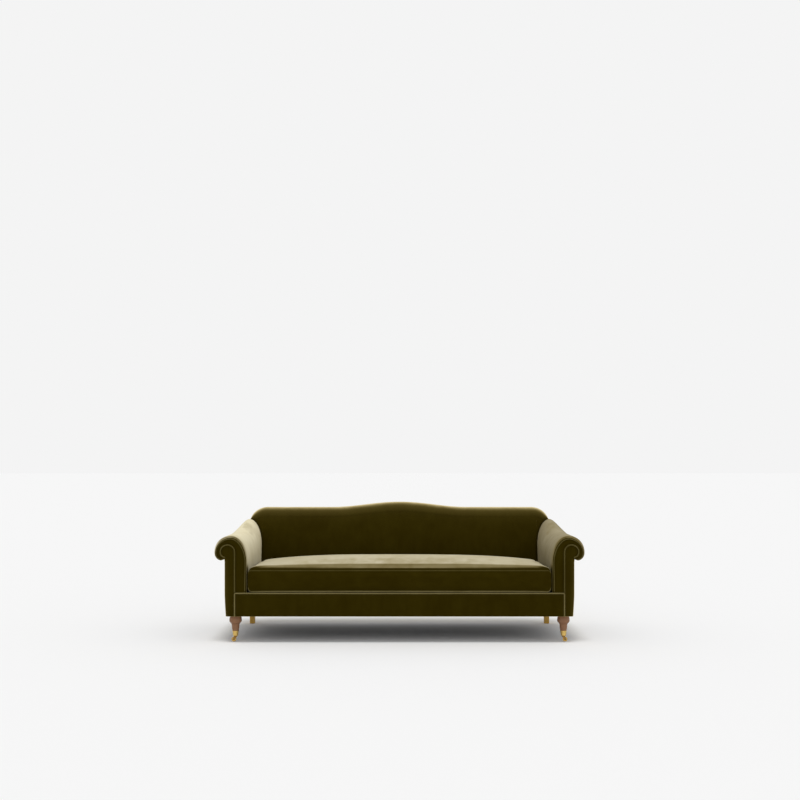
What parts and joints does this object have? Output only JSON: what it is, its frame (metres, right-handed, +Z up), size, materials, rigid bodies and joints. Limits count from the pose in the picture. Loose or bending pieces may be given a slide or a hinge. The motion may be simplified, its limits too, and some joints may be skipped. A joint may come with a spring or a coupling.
{
  "type": "camel-back sofa",
  "caption": "Velvet sofa with a camel back, scrolled arms with piped keyhole fronts, a long loose seat cushion, turned front legs on brass castors and plain rear legs.",
  "frame": {"origin": "on the floor, in the middle of the sofa's width and depth", "axes": "+X to the viewer's right along the width, -Y is where the sofa faces, +Z up"},
  "size_m": [2.3, 0.91, 0.85],
  "materials": {
    "velvet": "dark olive cotton velvet",
    "piping": "olive velvet over cord",
    "frame_timber": "sawn hardwood, unfinished",
    "leg_timber": "stained and polished hardwood",
    "rear_leg_timber": "lacquered golden hardwood",
    "brass": "polished lacquered brass",
    "castor_pin": "bright steel pin",
    "steel": "oiled spring steel",
    "lining": "black upholstery lining and hessian"
  },
  "bodies": {
    "sofa_frame": {"arm_facing_left": "velvet", "arm_facing_right": "velvet", "arm_front_post_left": "frame_timber", "arm_front_post_right": "frame_timber", "arm_pad_left": "velvet", "arm_pad_right": "velvet", "arm_rear_post_left": "frame_timber", "arm_rear_post_right": "frame_timber", "arm_top_rail_left": "frame_timber", "arm_top_rail_right": "frame_timber", "back_centre_post": "frame_timber", "back_hessian": "lining", "back_lower_rail": "frame_timber", "back_pad": "velvet", "back_post_left": "frame_timber", "back_post_right": "frame_timber", "back_top_rail": "frame_timber", "border_piping": "piping", "castor_cup_left": "brass", "castor_cup_right": "brass", "corner_block_front_left": "frame_timber", "corner_block_front_right": "frame_timber", "corner_block_rear_left": "frame_timber", "corner_block_rear_right": "frame_timber", "dust_cover": "lining", "facing_piping_left": "piping", "facing_piping_right": "piping", "front_border": "velvet", "front_leg_left": "leg_timber", "front_leg_right": "leg_timber", "front_rail": "frame_timber", "leg_bolt_left": "steel", "leg_bolt_right": "steel", "outside_arm_panel_left": "velvet", "outside_arm_panel_right": "velvet", "outside_back_panel": "velvet", "rear_leg_left": "rear_leg_timber", "rear_leg_right": "rear_leg_timber", "rear_rail": "frame_timber", "seat_deck": "lining", "seat_spring_1": "steel", "seat_spring_2": "steel", "seat_spring_3": "steel", "seat_spring_4": "steel", "seat_spring_5": "steel", "seat_spring_6": "steel", "seat_spring_7": "steel", "seat_spring_8": "steel", "seat_stretcher_left": "frame_timber", "seat_stretcher_right": "frame_timber", "side_rail_left": "frame_timber", "side_rail_right": "frame_timber"},
    "seat_cushion_body": {"seat_cushion": "velvet", "cushion_piping": "piping"},
    "castor_left": {"castor_fork_left": "brass", "castor_axle_left": "castor_pin"},
    "castor_right": {"castor_fork_right": "brass", "castor_axle_right": "castor_pin"},
    "wheel_left": {"castor_wheel_left": "brass"},
    "wheel_right": {"castor_wheel_right": "brass"}
  },
  "joints": [
    {"name": "seat_cushion_lift", "type": "slide", "parent": "sofa_frame", "child": "seat_cushion_body", "axis": [0, 0, 1], "range_m": [0, 0.25]},
    {"name": "castor_swivel_left", "type": "hinge", "parent": "sofa_frame", "child": "castor_left", "pos_m": [-1.028, -0.3877, 0.033], "axis": [0, 0, 1], "continuous": true},
    {"name": "wheel_roll_left", "type": "hinge", "parent": "castor_left", "child": "wheel_left", "pos_m": [-1.038, -0.3877, 0.015], "axis": [0, 1, 0], "continuous": true},
    {"name": "castor_swivel_right", "type": "hinge", "parent": "sofa_frame", "child": "castor_right", "pos_m": [1.028, -0.3877, 0.033], "axis": [0, 0, 1], "continuous": true},
    {"name": "wheel_roll_right", "type": "hinge", "parent": "castor_right", "child": "wheel_right", "pos_m": [1.038, -0.3877, 0.015], "axis": [0, 1, 0], "continuous": true}
  ]
}
